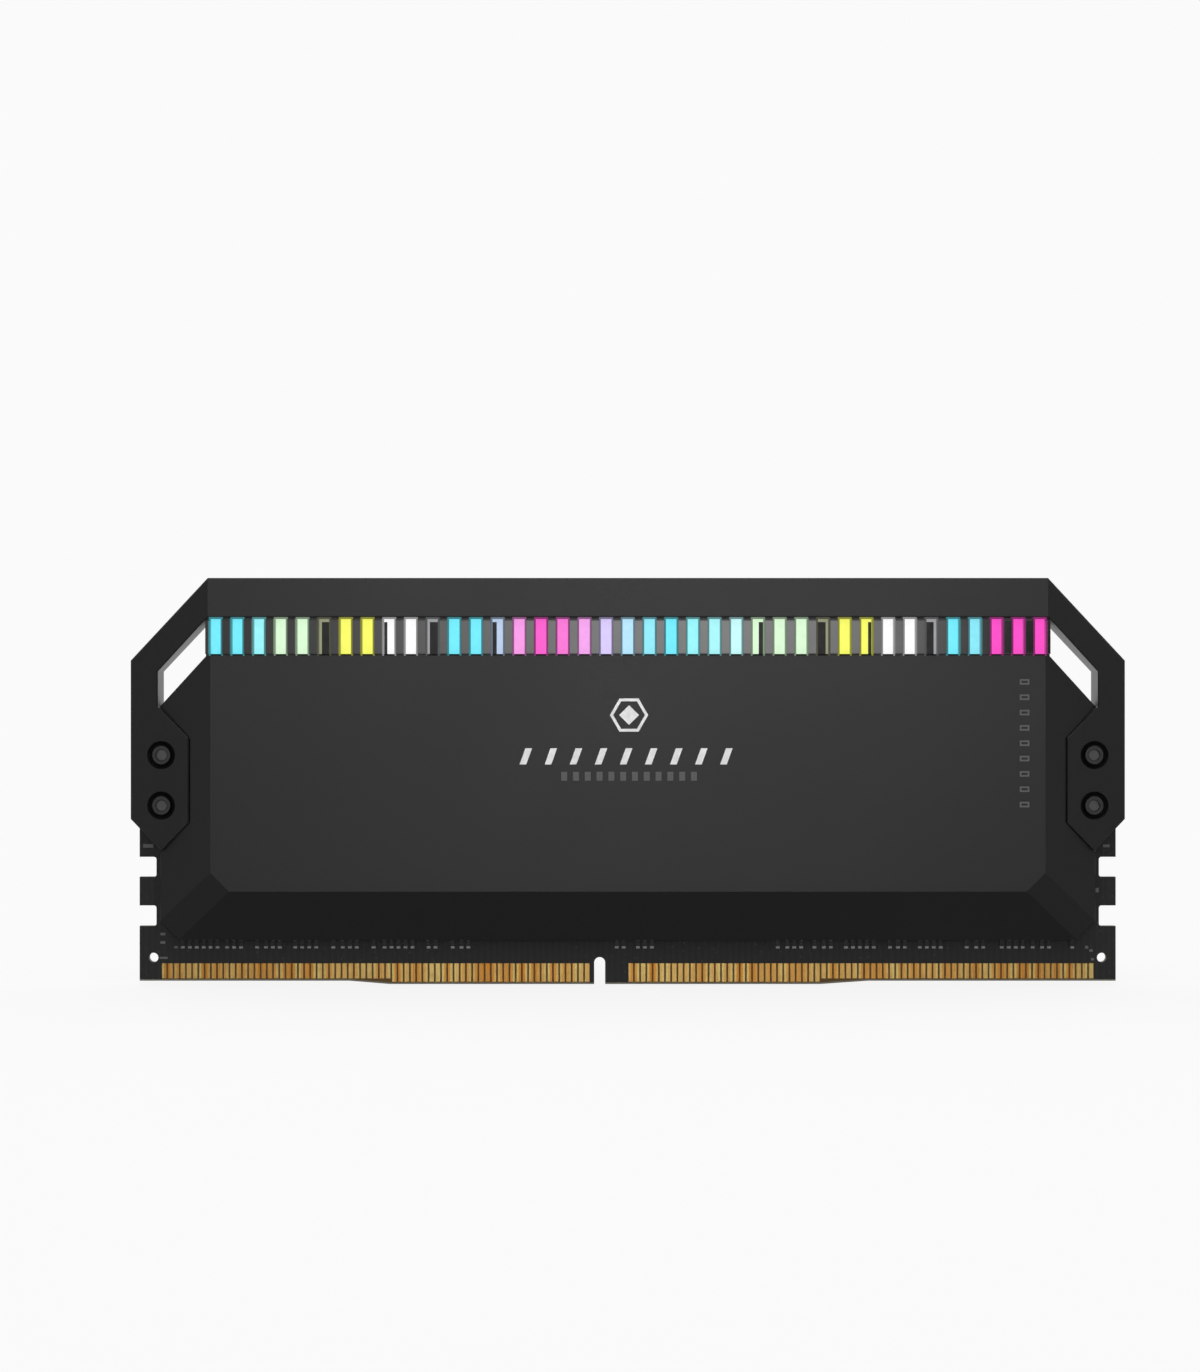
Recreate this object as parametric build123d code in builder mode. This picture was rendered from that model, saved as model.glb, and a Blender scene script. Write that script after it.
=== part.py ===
from build123d import *
import os

# Memory module: a circuit board with an edge connector, its chips, two heat spreaders,
# and a top frame that holds a lit strip behind two slotted grilles.
# X runs along the board, Y through its thickness (the front is -Y) and Z is up.
# The origin is on the board's middle plane, at the middle of the card edge's lowest line.

# ---- circuit board
BOARD_LENGTH = 133.35
BOARD_HEIGHT = 31.25
BOARD_THICKNESS = 1.27
BOARD_HALF = BOARD_THICKNESS / 2
BOARD_END = BOARD_LENGTH / 2
EDGE_STEP = 0.45             # the middle of the card edge hangs this much lower than its ends
EDGE_LOW_LEFT = -32.5        # the low stretch, and the outer ends of its two ramps
EDGE_LOW_RIGHT = 26.3
EDGE_RAMP_LEFT = -38.0
EDGE_RAMP_RIGHT = 32.9
EDGE_BEVEL = 0.22
KEY_X = -3.825
KEY_WIDTH = 1.5
KEY_TOP = 3.7
LATCH_DEPTH = 2.3
LATCH_NOTCHES = ((7.95, 10.76), (14.66, 17.40))
LATCH_CORNER = 0.35
BEYOND = 1.0                 # cuts run this far past what they cut
TOOLING_HOLE_X = 64.77
TOOLING_HOLE_Z = 3.64
TOOLING_HOLE_RADIUS = 0.65

# ---- card edge contacts
PITCH = 0.85
PAD_WIDTH = 0.60
PAD_THICKNESS = 0.03
PAD_TOP = 2.85
PAD_GAP = 0.35
LEFT_PADS = 69
RIGHT_PADS = 75
OUTER_PAD_X = 63.325

# ---- packages on the board
CHIP_SIZE = (10.0, 1.1, 11.0)
CHIP_Z = 16.5
CHIP_X = (14.5, 26.1, 37.7, 49.3)
CHIP_CHAMFER = 0.12
DOT_DEPTH = 0.05
CHIP_DOT = 0.35
POWER_DOT = 0.25
HUB_DOT = 0.15
POWER_CHIP_SIZE = (5.0, 0.85, 5.0)
POWER_CHIP_Z = 23.6
INDUCTOR_SIZE = (4.0, 1.2, 4.0)
INDUCTORS = ((-5.6, 23.6), (5.6, 23.6), (0.0, 18.2))
INDUCTOR_CORNER = 0.4
HUB_SIZE = (3.0, 0.6, 2.0)
HUB_PLACE = (0.0, 13.2)
CAPACITOR_SIZE = (0.5, 0.5, 1.0)
CAPACITOR_Z = 23.4
CAPACITOR_OFFSETS = (-3.6, -1.2, 1.2, 3.6)
RESISTOR_SIZE = (0.5, 0.23, 1.4)
RESISTOR_Z = 5.6
TERMINAL_LENGTH = 0.3
RESISTOR_PITCH = 0.95
RESISTOR_GROUPS = (          # first x and count of each cluster of chip resistors
    (-60.75, 6), (-54.7, 3), (-50.6, 1), (-49.4, 3), (-45.4, 4), (-40.2, 1), (-38.9, 3),
    (-34.7, 1), (-33.2, 5), (-27.2, 2), (-23.9, 1), (-22.7, 2), (-1.5, 2), (1.4, 3),
    (20.5, 1), (21.8, 3), (25.5, 1), (26.8, 2), (29.8, 5), (35.8, 1), (36.9, 2), (39.9, 4),
    (46.3, 1), (47.6, 2), (51.1, 4), (55.3, 1), (56.6, 2), (60.7, 1),
)
LEGEND = (                   # x, z, width and height of the dashes on the board's bare ends
    (-63.5, 6.85, 0.65, 0.35), (-63.5, 5.7, 0.65, 0.35), (-65.5, 18.9, 1.4, 0.5),
    (-63.4, 3.6, 1.1, 0.26), (62.7, 5.05, 0.45, 0.4), (63.3, 4.6, 0.5, 0.35),
    (63.5, 3.4, 0.4, 0.3), (64.07, 12.85, 0.6, 0.6), (65.4, 18.9, 0.9, 0.4),
    (-61.7, 5.05, 0.5, 0.3),
)

# ---- thermal pads
PAD_X = (9.2, 54.6)
PAD_Z = (10.8, 22.2)
POWER_PAD_X = (-3.0, 3.0)
POWER_PAD_Z = (20.6, 26.6)
PAD_CORNER = 0.5

# ---- heat spreaders; depths are measured from the board's middle plane
FACE_Y = 3.95
RIM_OUTER_Y = 2.3
RIM_INNER_Y = 0.9
POCKET_Y = 2.185
SPREADER_HALF = 63.7
SPREADER_BOTTOM = 6.13
RIM_CORNER = 2.55
PANEL_HALF = 56.65
PANEL_BOTTOM = 12.85
SPREADER_TOP = 44.85
POCKET_HALF = 55.2
POCKET_BOTTOM = 9.5
LIP_BOTTOM = 31.6
LIP_Y = 0.03
FLANGE_Y = 2.0
EAR_HALF_X = 65.6
EAR_BOTTOM = 22.2
EAR_TOP = 34.2
EAR_CORNER = 1.0
TAB_GAP = 0.12               # between the frame's tabs and their recesses
TIP_GAP = 0.17               # the same gap, measured straight down from a tab's tip
SPREADER_CHAMFER = 0.15

# ---- top frame: a bar over the strip, with an arm down each end
FRAME_TOP = 55.4
BAR_HALF = 57.0
BAR_BOTTOM = 50.1
ARM_OUTER = 67.6
ARM_SHOULDER_Z = 44.2
ARM_HEEL_Z = 22.65
TIP = (63.4, 18.35)
TAB_INNER = 59.6
TAB_LOW_Z = 22.2
TAB_HIGH_Z = 33.7
WINDOW_OUTER = 63.86
WINDOW_LOW_Z = 37.75
WINDOW_HIGH_Z = 42.7
WINDOW_SILL_Z = 45.04       # where the window's lower slope meets the side of the bar
ARM_END_Y = 2.84             # the arm's faces taper in to this at its outer side
FRAME_CHAMFER = 0.15
CAVITY_Y = 2.05
CAVITY_HALF_X = 65.9
CAVITY_PLAY = 0.4            # above the spreaders' ears
SLOT_Y = 0.8
SLOT_HALF_X = 66.9
CHANNEL_Y = 2.95
CHANNEL_HALF_X = 57.45
CHANNEL_TOP = 50.95

# ---- arm screws
SCREW_X = 63.4
SCREW_ROWS = (24.49, 31.35)
SHANK_RADIUS = 0.78
BORE_RADIUS = 0.80
CLEARANCE_RADIUS = 0.90
COUNTERBORE_RADIUS = 1.92
COUNTERBORE_DEPTH = 0.90
HEAD_RADIUS = 1.36
HEAD_HEIGHT = 0.75
HEAD_CHAMFER = 0.15
HEX_RADIUS = 0.82
HEX_DEPTH = 0.45
SCREW_TIP_Y = 0.95

# ---- grille and lighting
SLOT_COUNT = 39
SLOT_PITCH = 112.0 / 38
SLOT_WIDTH = 1.45
FIN_CHAMFER = 0.12
FIN_FACE_Y = 3.75
GRILLE_PLATE_Y = 2.9
GRILLE_BACK_Y = 2.2
GRILLE_HALF = 57.35
GRILLE_BOTTOM = 44.05
GRILLE_TOP = 50.85
FIN_BOTTOM = 45.09
FIN_TOP = 49.85
END_FIN_TOP = 49.55
REBATE_BOTTOM = 44.0
GUIDE_Y = 1.6
GUIDE_BOTTOM = 42.95
GUIDE_TOP = 49.95
GUIDE_FOOT_HALF = 54.4
GUIDE_HALF = 56.9
CARRIER_INNER_Y = 1.65
CARRIER_OUTER_Y = 2.15
CARRIER_HALF = 55.0
CARRIER_BASE_BOTTOM = 42.2
CARRIER_BASE_TOP = 42.9
CARRIER_WING_BOTTOM = 44.1
CARRIER_CAP_INNER = 56.95
POST_WIDTH = 1.5
POST_TOP = 49.45
POST_X = (18.6, 26.2, 33.5, 40.9, 48.8)
LED_COUNT = 12
LED_PITCH = 9.2
LED_SIZE = (2.0, 2.0, 0.7)
LED_WINDOW = 2.4
LED_BOARD_BOTTOM = 41.35
LED_BOARD_TOP = 42.15
LED_BOARD_HALF = (54.6, 2.0)
LED_BOARD_CORNER = 0.5
FLEX_HALF_WIDTH = 4.0
FLEX_Y = (-1.385, -1.085)
FLEX_BOTTOM = 29.5
SOCKET_HALF_WIDTH = 5.0
SOCKET_Z = (27.4, 30.5)
SOCKET_HEIGHT = 1.2
SOCKET_PLAY = 0.03
SOCKET_CHAMFER = 0.15

# ---- thin printed marks
INK = 0.02
EMBLEM_PLACE = (0.16, 36.8)
EMBLEM_RADIUS = 2.6
EMBLEM_BAND = 0.45
EMBLEM_CORE = 1.9
DASH_COUNT = 9
DASH_PITCH = 3.4
DASH_SIZE = (1.7, 2.2)
DASH_LEAN = 0.8
DASH_ROW_Z = 31.2
TICK_COUNT = 12
TICK_PITCH = 1.6
TICK_SIZE = (0.8, 1.2)
TICK_ROW_Z = 28.5
COLUMN_X = 53.8
COLUMN_TOP_Z = 41.3
COLUMN_COUNT = 9
COLUMN_PITCH = 2.08
COLUMN_SIZE = (1.3, 0.75)
COLUMN_LINE = 0.22

os.makedirs("parts", exist_ok=True)


def slab(outline, y_back, y_front, mode=Mode.ADD):
    """Extrude a closed outline of (x, z) points from y_back forward to y_front."""
    with BuildSketch(Plane.XZ.offset(-y_back)) as profile:
        with BuildLine():
            Polyline(*outline, close=True)
        make_face()
    extrude(profile.sketch, amount=y_back - y_front, mode=mode)


def disc(x, z, radius, y_back, y_front, mode=Mode.ADD):
    """A round boss or hole along Y."""
    with BuildSketch(Plane.XZ.offset(-y_back)) as profile:
        with Locations((x, z)):
            Circle(radius)
    extrude(profile.sketch, amount=y_back - y_front, mode=mode)


def block(x_range, y_range, z_range, mode=Mode.ADD):
    """A box given by its two corners on each axis."""
    ranges = (x_range, y_range, z_range)
    centre = tuple((low + high) / 2 for low, high in ranges)
    with Locations(centre):
        Box(*(high - low for low, high in ranges), mode=mode)


def on_both_ends(outline):
    """The outline as it stands at the right end, and its mirror image at the left end."""
    return outline, [(-x, z) for x, z in outline]


def save(piece, name):
    piece.part.label = name
    export_step(piece.part, f"parts/{name}.step")


def save_rear_twin(front, name):
    """The same piece on the back of the board."""
    with BuildPart() as rear:
        add(mirror(front.part, about=Plane.XZ, mode=Mode.PRIVATE))
    save(rear, name)


def arm_face_y(x):
    """How far the arm's front face stands from the middle plane at a given x."""
    taper = (FACE_Y - ARM_END_Y) / (ARM_OUTER - BAR_HALF)
    return FACE_Y - taper * (abs(x) - BAR_HALF)


# ======================================================================= circuit board
board_outline = [
    (EDGE_LOW_LEFT, 0), (EDGE_LOW_RIGHT, 0), (EDGE_RAMP_RIGHT, EDGE_STEP),
    (BOARD_END, EDGE_STEP), (BOARD_END, BOARD_HEIGHT),
    (-BOARD_END, BOARD_HEIGHT), (-BOARD_END, EDGE_STEP), (EDGE_RAMP_LEFT, EDGE_STEP),
]
with BuildPart() as circuit_board:
    slab(board_outline, BOARD_HALF, -BOARD_HALF)
    # the card edge is bevelled on both faces so that it enters the socket
    edge_lines = [
        edge for edge in circuit_board.edges()
        if edge.bounding_box().max.Z < EDGE_STEP + 0.01 and edge.bounding_box().size.X > EDGE_BEVEL
    ]
    chamfer(edge_lines, length=EDGE_BEVEL)
    # key notch with a round top
    key_round = KEY_TOP - KEY_WIDTH / 2
    block((KEY_X - KEY_WIDTH / 2, KEY_X + KEY_WIDTH / 2), (-BEYOND, BEYOND), (-BEYOND, key_round),
          Mode.SUBTRACT)
    disc(KEY_X, key_round, KEY_WIDTH / 2, BEYOND, -BEYOND, Mode.SUBTRACT)
    # two latch notches and a tooling hole at each end
    for side in (-1, 1):
        for low, high in LATCH_NOTCHES:
            with BuildSketch(Plane.XZ.offset(-BEYOND)):
                with Locations((side * BOARD_END, (low + high) / 2)):
                    RectangleRounded(2 * LATCH_DEPTH, high - low, LATCH_CORNER)
            extrude(amount=2 * BEYOND, mode=Mode.SUBTRACT)
        disc(side * TOOLING_HOLE_X, TOOLING_HOLE_Z, TOOLING_HOLE_RADIUS, BEYOND, -BEYOND,
             Mode.SUBTRACT)
save(circuit_board, "circuit_board")


# ======================================================================= edge contacts
def contact_row(first_x, count, direction, name):
    """One side of the key: separate plated pads, shorter where the card edge is higher."""
    places = [first_x + index * PITCH for index in range(count)]
    surface = direction * (BOARD_HALF + PAD_THICKNESS / 2)
    with BuildPart() as row:
        for edge_z in (0, EDGE_STEP):
            low = PAD_GAP + edge_z
            xs = [x for x in places if (EDGE_LOW_LEFT < x < EDGE_LOW_RIGHT) == (edge_z == 0)]
            with Locations(*[(x, surface, (low + PAD_TOP) / 2) for x in xs]):
                Box(PAD_WIDTH, PAD_THICKNESS, PAD_TOP - low)
    save(row, name)


first_right_x = OUTER_PAD_X - (RIGHT_PADS - 1) * PITCH
for face, direction in (("front", -1), ("rear", 1)):
    contact_row(-OUTER_PAD_X, LEFT_PADS, direction, f"contacts_{face}_left")
    contact_row(first_right_x, RIGHT_PADS, direction, f"contacts_{face}_right")


# ======================================================================= packages
def package(x, z, size, dot, label):
    """A moulded package on the board's front, with chamfered top edges and a pin-one dot."""
    width, thickness, height = size
    top_y = -BOARD_HALF - thickness
    with BuildPart() as body:
        block((x - width / 2, x + width / 2), (top_y, -BOARD_HALF), (z - height / 2, z + height / 2))
        chamfer(body.faces().sort_by(Axis.Y)[0].edges(), length=CHIP_CHAMFER)
        corner_x = x - width / 2 + 3 * dot
        corner_z = z - height / 2 + 3 * dot
        disc(corner_x, corner_z, dot, top_y + DOT_DEPTH, top_y, Mode.SUBTRACT)
    save(body, label)


chip_places = [-x for x in reversed(CHIP_X)] + list(CHIP_X)
for number, x in enumerate(chip_places, start=1):
    package(x, CHIP_Z, CHIP_SIZE, CHIP_DOT, f"dram_chip_{number}")
package(0, POWER_CHIP_Z, POWER_CHIP_SIZE, POWER_DOT, "power_management_chip")
package(*HUB_PLACE, HUB_SIZE, HUB_DOT, "hub_chip")

with BuildPart() as power_inductors:
    width, thickness, height = INDUCTOR_SIZE
    with Locations(*[(x, -BOARD_HALF - thickness / 2, z) for x, z in INDUCTORS]):
        Box(width, thickness, height)
    chamfer(power_inductors.edges().filter_by(Axis.Y), length=INDUCTOR_CORNER)
save(power_inductors, "power_inductors")

with BuildPart() as decoupling_capacitors:
    width, thickness, height = CAPACITOR_SIZE
    places = [(x + step, CAPACITOR_Z) for x in chip_places for step in CAPACITOR_OFFSETS]
    with Locations(*[(x, -BOARD_HALF - thickness / 2, z) for x, z in places]):
        Box(width, thickness, height)
save(decoupling_capacitors, "decoupling_capacitors")

# chip resistors just above the contacts, on both faces: a dark body with two metal ends
resistor_xs = [x + step * RESISTOR_PITCH for x, count in RESISTOR_GROUPS for step in range(count)]
resistor_width, resistor_thickness, resistor_length = RESISTOR_SIZE
resistor_y = BOARD_HALF + resistor_thickness / 2
body_length = resistor_length - 2 * TERMINAL_LENGTH
terminal_step = (resistor_length - TERMINAL_LENGTH) / 2
with BuildPart() as series_resistors:
    with Locations(*[(x, y, RESISTOR_Z) for x in resistor_xs for y in (-resistor_y, resistor_y)]):
        Box(resistor_width, resistor_thickness, body_length)
save(series_resistors, "series_resistors")

with BuildPart() as resistor_terminals:
    ends = [
        (x, y, RESISTOR_Z + step)
        for x in resistor_xs
        for y in (-resistor_y, resistor_y)
        for step in (-terminal_step, terminal_step)
    ]
    with Locations(*ends):
        Box(resistor_width, resistor_thickness, TERMINAL_LENGTH)
save(resistor_terminals, "resistor_terminals")

# ======================================================================= thermal pads
CHIP_FACE_Y = -BOARD_HALF - CHIP_SIZE[1]
POWER_FACE_Y = -BOARD_HALF - POWER_CHIP_SIZE[1]
thermal_pads = {
    "thermal_pad_left": ((-PAD_X[1], -PAD_X[0]), (-POCKET_Y, CHIP_FACE_Y), PAD_Z),
    "thermal_pad_right": (PAD_X, (-POCKET_Y, CHIP_FACE_Y), PAD_Z),
    "thermal_pad_power": (POWER_PAD_X, (-POCKET_Y, POWER_FACE_Y), POWER_PAD_Z),
    "thermal_pad_rear": ((-PAD_X[1], PAD_X[1]), (BOARD_HALF, POCKET_Y), PAD_Z),
}
for pad_name, corners in thermal_pads.items():
    with BuildPart() as pad:
        block(*corners)
        fillet(pad.edges().filter_by(Axis.Y), radius=PAD_CORNER)
    save(pad, pad_name)

# ======================================================================= heat spreaders
rim_outline = [
    (-SPREADER_HALF + RIM_CORNER, SPREADER_BOTTOM), (SPREADER_HALF - RIM_CORNER, SPREADER_BOTTOM),
    (SPREADER_HALF, SPREADER_BOTTOM + RIM_CORNER), (SPREADER_HALF, SPREADER_TOP),
    (-SPREADER_HALF, SPREADER_TOP), (-SPREADER_HALF, SPREADER_BOTTOM + RIM_CORNER),
]
panel_outline = [
    (-PANEL_HALF + RIM_CORNER, PANEL_BOTTOM), (PANEL_HALF - RIM_CORNER, PANEL_BOTTOM),
    (PANEL_HALF, PANEL_BOTTOM + RIM_CORNER), (PANEL_HALF, SPREADER_TOP),
    (-PANEL_HALF, SPREADER_TOP), (-PANEL_HALF, PANEL_BOTTOM + RIM_CORNER),
]
window_slope = (WINDOW_SILL_Z - WINDOW_LOW_Z) / (WINDOW_OUTER - BAR_HALF)
corner_cut = [
    (BAR_HALF, WINDOW_SILL_Z), (ARM_OUTER, WINDOW_SILL_Z - window_slope * (ARM_OUTER - BAR_HALF)),
    (ARM_OUTER, WINDOW_SILL_Z + BEYOND), (BAR_HALF, WINDOW_SILL_Z + BEYOND),
]
lip_outline = [
    (POCKET_HALF, LIP_BOTTOM), (SPREADER_HALF, LIP_BOTTOM), (SPREADER_HALF, SPREADER_TOP),
    (POCKET_HALF, SPREADER_TOP),
]
ear_outline = [
    (POCKET_HALF, EAR_BOTTOM), (EAR_HALF_X - EAR_CORNER, EAR_BOTTOM),
    (EAR_HALF_X, EAR_BOTTOM + EAR_CORNER), (EAR_HALF_X, EAR_TOP - EAR_CORNER),
    (EAR_HALF_X - EAR_CORNER, EAR_TOP), (POCKET_HALF, EAR_TOP),
]
# the tab of the frame's arm lies in a recess, a small gap larger than the tab all round
tab_recess = [
    (TAB_INNER - TAB_GAP, TAB_HIGH_Z), (ARM_OUTER, TAB_HIGH_Z + ARM_OUTER - TAB_INNER + TAB_GAP),
    (ARM_OUTER, TIP[1] - TIP_GAP), (TIP[0], TIP[1] - TIP_GAP), (TAB_INNER - TAB_GAP, TAB_LOW_Z),
]
with BuildPart() as front_heatspreader:
    slab(rim_outline, -RIM_INNER_Y, -RIM_OUTER_Y)
    # the raised panel, with sloping sides and two corner facets
    with BuildSketch(Plane.XZ.offset(RIM_OUTER_Y)):
        with BuildLine():
            Polyline(*rim_outline, close=True)
        make_face()
    with BuildSketch(Plane.XZ.offset(FACE_Y)):
        with BuildLine():
            Polyline(*panel_outline, close=True)
        make_face()
    loft(ruled=True)
    # the sheet's edge is eased at the ends, and left square along the bottom
    outer_edges = [
        edge for edge in front_heatspreader.edges()
        if all(abs(vertex.Y + RIM_OUTER_Y) < 0.01 for vertex in edge.vertices())
        and SPREADER_BOTTOM + 0.01 < edge.center().Z < SPREADER_TOP - 0.01
    ]
    chamfer(outer_edges, length=SPREADER_CHAMFER)
    # above the board the ends are solid to the middle plane
    for outline in on_both_ends(lip_outline):
        slab(outline, -LIP_Y, -RIM_INNER_Y)
    for outline in on_both_ends(tab_recess):
        slab(outline, -FLANGE_Y, -FACE_Y, Mode.SUBTRACT)
    for outline in on_both_ends(ear_outline):
        slab(outline, -RIM_INNER_Y, -FLANGE_Y)
    for outline in on_both_ends(corner_cut):
        slab(outline, 0, -FACE_Y, Mode.SUBTRACT)
    # inside, a pocket for the chips and a wider rebate for the grille
    block((-POCKET_HALF, POCKET_HALF), (-POCKET_Y, 0), (POCKET_BOTTOM, SPREADER_TOP), Mode.SUBTRACT)
    block((-CHANNEL_HALF_X, CHANNEL_HALF_X), (-CHANNEL_Y, 0), (REBATE_BOTTOM, SPREADER_TOP),
          Mode.SUBTRACT)
    for side in (-1, 1):
        for row in SCREW_ROWS:
            disc(side * SCREW_X, row, BORE_RADIUS, -RIM_INNER_Y, -FLANGE_Y, Mode.SUBTRACT)
save(front_heatspreader, "front_heatspreader")
save_rear_twin(front_heatspreader, "rear_heatspreader")

# ======================================================================= top frame
tab_join_z = TAB_HIGH_Z + WINDOW_OUTER - TAB_INNER
right_arm = [
    (BAR_HALF, FRAME_TOP), (ARM_OUTER, ARM_SHOULDER_Z), (ARM_OUTER, ARM_HEEL_Z), TIP,
    (TAB_INNER, TAB_LOW_Z), (TAB_INNER, TAB_HIGH_Z), (WINDOW_OUTER, tab_join_z),
    (WINDOW_OUTER, WINDOW_HIGH_Z), (BAR_HALF, BAR_BOTTOM),
]
left_arm = [(-x, z) for x, z in reversed(right_arm)]
flange_cavity = [
    (BAR_HALF, 0), (CAVITY_HALF_X, 0), (CAVITY_HALF_X, EAR_TOP + CAVITY_PLAY),
    (WINDOW_OUTER, EAR_TOP + CAVITY_PLAY + CAVITY_HALF_X - WINDOW_OUTER),
    (WINDOW_OUTER, tab_join_z + CAVITY_PLAY), (BAR_HALF, tab_join_z + CAVITY_PLAY),
]
board_slot = [
    (BAR_HALF, 0), (SLOT_HALF_X, 0), (SLOT_HALF_X, LIP_BOTTOM), (BAR_HALF, LIP_BOTTOM),
]
with BuildPart() as top_frame:
    slab(right_arm + left_arm, FACE_Y, -FACE_Y)
    # outboard of the bar both faces of the arms taper towards the ends
    taper_end = ARM_OUTER + BEYOND
    for side in (-1, 1):
        for face in (-1, 1):
            wedge = [
                (side * BAR_HALF, face * FACE_Y), (side * taper_end, face * arm_face_y(taper_end)),
                (side * taper_end, face * (FACE_Y + BEYOND)),
                (side * BAR_HALF, face * (FACE_Y + BEYOND)),
            ]
            with BuildSketch():
                with BuildLine():
                    Polyline(*wedge, close=True)
                make_face()
            extrude(amount=FRAME_TOP + BEYOND, mode=Mode.SUBTRACT)
    # a fine chamfer round the outline of both faces
    broad_faces = top_frame.faces().filter_by(lambda face: abs(face.normal_at().Y) > 0.9)
    rim_edges = [
        edge for edge in broad_faces.edges()
        if not (abs(abs(edge.center().X) - BAR_HALF) < 0.01 and abs(edge.center().Y) > FACE_Y - 0.01)
    ]
    chamfer(rim_edges, length=FRAME_CHAMFER)
    # the channel under the bar takes the grilles' upper edges
    block((-CHANNEL_HALF_X, CHANNEL_HALF_X), (-CHANNEL_Y, CHANNEL_Y), (BAR_BOTTOM - BEYOND, CHANNEL_TOP),
          Mode.SUBTRACT)
    # each arm straddles the spreaders' ears and the end of the board
    for outline in on_both_ends(flange_cavity):
        slab(outline, CAVITY_Y, -CAVITY_Y, Mode.SUBTRACT)
    for outline in on_both_ends(board_slot):
        slab(outline, SLOT_Y, -SLOT_Y, Mode.SUBTRACT)
    for side in (-1, 1):
        for row in SCREW_ROWS:
            x = side * SCREW_X
            disc(x, row, CLEARANCE_RADIUS, FACE_Y, -FACE_Y, Mode.SUBTRACT)
            floor_y = arm_face_y(x) - COUNTERBORE_DEPTH
            disc(x, row, COUNTERBORE_RADIUS, -floor_y, -FACE_Y, Mode.SUBTRACT)
            disc(x, row, COUNTERBORE_RADIUS, FACE_Y, floor_y, Mode.SUBTRACT)
save(top_frame, "top_frame")

# ======================================================================= arm screws
seat_y = arm_face_y(SCREW_X) - COUNTERBORE_DEPTH
with BuildPart() as arm_screws_front:
    for side in (-1, 1):
        for row in SCREW_ROWS:
            x = side * SCREW_X
            disc(x, row, SHANK_RADIUS, -SCREW_TIP_Y, -seat_y)
            disc(x, row, HEAD_RADIUS, -seat_y, -seat_y - HEAD_HEIGHT)
    heads = arm_screws_front.faces().filter_by(Axis.Y).group_by(Axis.Y)[0]
    chamfer(heads.edges(), length=HEAD_CHAMFER)
    for side in (-1, 1):
        for row in SCREW_ROWS:
            with BuildSketch(Plane.XZ.offset(seat_y + HEAD_HEIGHT)):
                with Locations((side * SCREW_X, row)):
                    RegularPolygon(HEX_RADIUS, 6)
            extrude(amount=-HEX_DEPTH, mode=Mode.SUBTRACT)
save(arm_screws_front, "arm_screws_front")
save_rear_twin(arm_screws_front, "arm_screws_rear")

# ======================================================================= slotted grilles
first_slot = -SLOT_PITCH * (SLOT_COUNT - 1) / 2
slot_depth = FIN_FACE_Y - GRILLE_BACK_Y
slot_y = -(FIN_FACE_Y + GRILLE_BACK_Y) / 2
with BuildPart() as front_grille:
    block((-GRILLE_HALF, GRILLE_HALF), (-GRILLE_PLATE_Y, -GRILLE_BACK_Y), (GRILLE_BOTTOM, GRILLE_TOP))
    block((-GRILLE_HALF, GRILLE_HALF), (-FIN_FACE_Y, -GRILLE_PLATE_Y), (FIN_BOTTOM, FIN_TOP))
    slots = [
        (first_slot + index * SLOT_PITCH, slot_y, (FIN_BOTTOM + FIN_TOP) / 2)
        for index in range(SLOT_COUNT)
    ]
    with Locations(*slots):
        Box(SLOT_WIDTH, slot_depth, FIN_TOP - FIN_BOTTOM, mode=Mode.SUBTRACT)
    # the end fins stop short, under the slope of the arm
    for side in (-1, 1):
        ends = sorted((side * PANEL_HALF, side * GRILLE_HALF))
        block(ends, (-FIN_FACE_Y, -GRILLE_PLATE_Y), (END_FIN_TOP, FIN_TOP), Mode.SUBTRACT)
    fin_edges = [
        edge for edge in front_grille.edges().filter_by(Axis.Z)
        if abs(edge.center().Y + FIN_FACE_Y) < 0.01 and abs(edge.center().X) < PANEL_HALF - 0.01
    ]
    chamfer(fin_edges, length=FIN_CHAMFER)
save(front_grille, "front_grille")
save_rear_twin(front_grille, "rear_grille")

# ======================================================================= lighting
led_xs = [(index - (LED_COUNT - 1) / 2) * LED_PITCH for index in range(LED_COUNT)]
with BuildPart() as light_guide:
    block((-GUIDE_FOOT_HALF, GUIDE_FOOT_HALF), (-GUIDE_Y, GUIDE_Y), (GUIDE_BOTTOM, FIN_BOTTOM))
    block((-GUIDE_HALF, GUIDE_HALF), (-GUIDE_Y, GUIDE_Y), (FIN_BOTTOM, GUIDE_TOP))
save(light_guide, "light_guide")

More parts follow.
